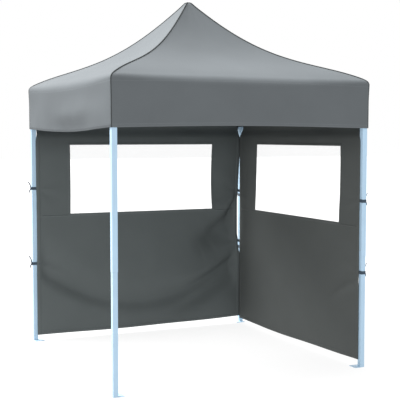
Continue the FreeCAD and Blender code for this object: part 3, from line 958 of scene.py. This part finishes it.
def make_wall(side):
    left, right = window_sides(side)
    across = steps([-WALL_HALF, left, right, WALL_HALF], CLOTH_STEP)
    up = steps([WALL_FOOT, WINDOW_LOW, WINDOW_HIGH, WALL_TOP], CLOTH_STEP)
    spots = [(s, z) for z in up for s in across]
    faces = grid_faces(across, up, hole=(left, right, WINDOW_LOW, WINDOW_HIGH))
    used = sorted({index for face in faces for index in face})
    place = {old: new for new, old in enumerate(used)}
    faces = [tuple(place[index] for index in face) for face in faces]
    spots = [spots[n] for n in used]
    points = [on_wall(side, s, z) for s, z in spots]
    wall = new_piece(f"wall_{side}_cloth", points, faces, wall_cloth[side], spots)
    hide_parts(f"wall_{side}")
    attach(wall, "hub")
    follow(wall, lambda co: wall_shares(side, co))
    thicken(wall, CLOTH_THICKNESS)
    return wall


# A band's section, as (place across it in widths, rise above the cloth), and the bands' widths.
BAND_SECTION = ((-0.5, 0.0004), (-0.42, 0.0021), (0.42, 0.0021), (0.5, 0.0004))
WINDOW_BAND = 0.018
SEAM_BAND = 0.012
SIDE_BAND = 0.030
FOOT_BAND = 0.024


def strip(side, line, width):
    """A narrow band of cloth on the wall's inner face, along a line of (s, z)."""
    points, faces = [], []
    count = len(line)
    rows = len(BAND_SECTION)
    for n, (s, z) in enumerate(line):
        (s0, z0), (s1, z1) = line[max(n - 1, 0)], line[min(n + 1, count - 1)]
        along = Vector((s1 - s0, z1 - z0)).normalized()
        for offset, rise in BAND_SECTION:
            spot_s, spot_z = s - along.y * width * offset, z + along.x * width * offset
            points.append(on_wall(side, spot_s, spot_z, outward=-CLOTH_THICKNESS / 2 - rise))
        if n:
            for k in range(rows - 1):
                a = (n - 1) * rows + k
                faces.append((a, a + 1, a + 1 + rows, a + rows))
    return points, faces


def level_strip(side, z, low, high, width):
    return strip(side, [(s, z) for s in steps([low, high], CLOTH_STEP)], width)


def upright_strip(side, s, low, high, width):
    return strip(side, [(s, z) for z in steps([low, high], CLOTH_STEP)], width)


def make_bands(side):
    """The sewn bands round the window, along the side hems, the foot and the cross seam."""
    left, right = window_sides(side)
    out = WINDOW_BAND / 2
    end = WALL_HALF - SIDE_BAND
    hem = WALL_HALF - 0.016
    hem_top = 1.70
    points, faces = joined(
        [
            level_strip(side, WINDOW_LOW - out, left - 2 * out, right + 2 * out, WINDOW_BAND),
            level_strip(side, WINDOW_HIGH + out, left - 2 * out, right + 2 * out, WINDOW_BAND),
            upright_strip(side, left - out, WINDOW_LOW - out, WINDOW_HIGH + out, WINDOW_BAND),
            upright_strip(side, right + out, WINDOW_LOW - out, WINDOW_HIGH + out, WINDOW_BAND),
            level_strip(side, SEAM_LEVEL, -end, left - 3 * out, SEAM_BAND),
            level_strip(side, SEAM_LEVEL, right + 3 * out, end, SEAM_BAND),
            upright_strip(side, -hem, WALL_FOOT, hem_top, SIDE_BAND),
            upright_strip(side, hem, WALL_FOOT, hem_top, SIDE_BAND),
            level_strip(side, WALL_FOOT + 0.0125, -end, end, FOOT_BAND),
        ]
    )
    uvs = [((p.x if side == "rear" else -p.y), p.z) for p in points]
    bands = new_piece(f"wall_{side}_bands", points, faces, wall_cloth[side], uvs)
    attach(bands, "hub")
    follow(bands, lambda co: wall_shares(side, co))
    return bands


def make_window(side):
    left, right = window_sides(side)
    across = steps([left - SEAM_ALLOWANCE, right + SEAM_ALLOWANCE], FILM_STEP)
    up = steps([WINDOW_LOW - SEAM_ALLOWANCE, WINDOW_HIGH + SEAM_ALLOWANCE], FILM_STEP)
    spots = [(s, z) for z in up for s in across]
    points = [on_wall(side, s, z, outward=CLOTH_THICKNESS) for s, z in spots]
    window = new_piece(f"window_{side}_film", points, grid_faces(across, up), film, spots)
    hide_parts(f"window_{side}")
    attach(window, "hub")
    follow(window, lambda co: wall_shares(side, co))
    thicken(window, FILM_THICKNESS)
    return window


# ---------------------------------------------------------------- ties

# Heights of the lines down the loop's tape, from its middle, and how far they bulge at most.
TAPE_ROWS = (-0.0130, -0.0110, -0.0035, 0.0035, 0.0110, 0.0130)
TAPE_BULGE = 0.0012
LOOP_CLEARANCE = 0.0014
LOOP_CORNER = 0.006
END_FLATNESS = 0.50
STRAP_WIDTH = 0.017
STRAP_FLATNESS = 0.10
UP = Vector((0, 0, 1))


def tie_band(centre, level, lean):
    """The loop round the leg: a soft rounded square of tape that rides up a little on one side."""
    straight = LEG_HALF + LOOP_CLEARANCE - LOOP_CORNER
    outline = []
    for quarter in range(4):
        for n in range(5):
            angle = math.pi / 2 * (quarter + n / 4)
            cx = straight * (1 if quarter in (0, 3) else -1)
            cy = straight * (1 if quarter in (0, 1) else -1)
            turn = Vector((math.cos(angle), math.sin(angle)))
            outline.append(Vector((cx, cy)) + LOOP_CORNER * turn)
    points, faces = [], []
    count, rows = len(outline), len(TAPE_ROWS)
    for n, spot in enumerate(outline):
        for row, rise in enumerate(TAPE_ROWS):
            bulge = TAPE_BULGE * (1 - (rise / TAPE_ROWS[-1]) ** 2)
            x, y = spot + spot.normalized() * bulge
            wobble = 0.0006 * math.sin(5 * math.pi * n / count + row)
            rise *= 0.92 + 0.10 * math.sin(2.1 * n)
            points.append(Vector((centre.x + x, centre.y + y, level + rise + lean * spot.y + wobble)))
    for n in range(count):
        for row in range(rows - 1):
            a = n * rows + row
            b = ((n + 1) % count) * rows + row
            faces.append((a, b, b + 1, a + 1))
    return points, faces


def smooth_path(knots, count):
    """Points on a Catmull-Rom curve through the knots."""
    ends = [knots[0] * 2 - knots[1], *knots, knots[-1] * 2 - knots[-2]]
    path = []
    for a, b, c, d in zip(ends, ends[1:], ends[2:], ends[3:]):
        for step in range(count):
            t = step / count
            square = (2 * a - 5 * b + 4 * c - d) * t**2
            cube = (3 * b - a - 3 * c + d) * t**3
            path.append(0.5 * (2 * b + (c - a) * t + square + cube))
    path.append(knots[-1])
    return path


def ribbon(knots, width, flatness):
    """A flat tape along a curve, that narrows a little to its tip."""
    path = smooth_path(knots, 6)
    size = [width * flatness / 2 * (1 - 0.25 * n / len(path)) for n in range(len(path))]
    return tube(path, size, flat=1 / flatness)


def tie_knot(root, out, back, sway):
    """The two loose ends, one up and one down, and the knot that they leave."""
    upper = [
        root - UP * 0.004,
        root + out * 0.003 + UP * 0.014,
        root + out * 0.008 + UP * (0.034 + sway),
        root + out * 0.024 + UP * (0.060 + sway) + back * 0.004,
    ]
    lower = [
        root + UP * 0.004,
        root + out * 0.008 - UP * 0.010,
        root + out * 0.012 - UP * 0.020 - back * 0.003,
        root + out * 0.010 - UP * 0.034 - back * 0.005,
    ]
    knot = [
        root - UP * 0.009 - out * 0.002,
        root - UP * 0.004 + out * 0.002,
        root + UP * 0.004 + out * 0.002,
        root + UP * 0.009 - out * 0.002,
    ]
    return [
        ribbon(upper, 0.0115, END_FLATNESS),
        ribbon(lower, 0.0105, END_FLATNESS),
        tube(knot, [0.004, 0.0068, 0.0068, 0.004], sides=10, flat=0.7),
    ]


def sewn_strap(side, centre, sx, sy):
    """The short flat tape from the loop to the wall's side hem."""
    inward, across = Vector((-sx, 0, 0)), Vector((0, -sy, 0))
    if side == "right":
        inward, across = across, inward
    sewn = centre + inward * (LEG_CENTRE - WALL_HALF + 0.012) + across * (LEG_CENTRE - WALL_SKIN)
    loop = centre + inward * 0.012 + across * (LEG_HALF + 0.0022)
    return ribbon([sewn, (sewn + loop) / 2, loop], STRAP_WIDTH, STRAP_FLATNESS)


def make_ties(side):
    """Each tie's loop, its knot on the outer side of the leg, two loose ends and a sewn strap."""
    pieces = []
    for leg, levels in zip(WALL_LEGS[side], TIE_LEVELS[side].values()):
        sx = 1 if "right" in leg else -1
        sy = 1 if "rear" in leg else -1
        out, back = Vector((sx, 0, 0)), Vector((0, -sy, 0))
        for order, level in enumerate(levels):
            centre = Vector((sx * LEG_CENTRE, sy * LEG_CENTRE, level))
            root = centre + out * (LEG_HALF + 0.007) + back * 0.008
            shapes = [
                tie_band(centre, level, 0.06 * sx),
                *tie_knot(root, out, back, sway=0.006 if order else -0.004),
                sewn_strap(side, centre, sx, sy),
            ]
            pieces.append(new_piece(f"tie_{side}_{leg}_{order + 1}", *joined(shapes), tie_cloth))
    for piece in pieces:
        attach(piece, "hub")
        middle = sum((v.co for v in piece.data.vertices), Vector()) / len(piece.data.vertices)
        shares = wall_shares(side, middle)
        follow(piece, lambda co: shares)
    return pieces


for side in WALL_LEGS:
    wall = make_wall(side)
    window = make_window(side)
    extras = [make_bands(side), *make_ties(side)]
    legs = [f"leg_{leg}" for leg in WALL_LEGS[side]]
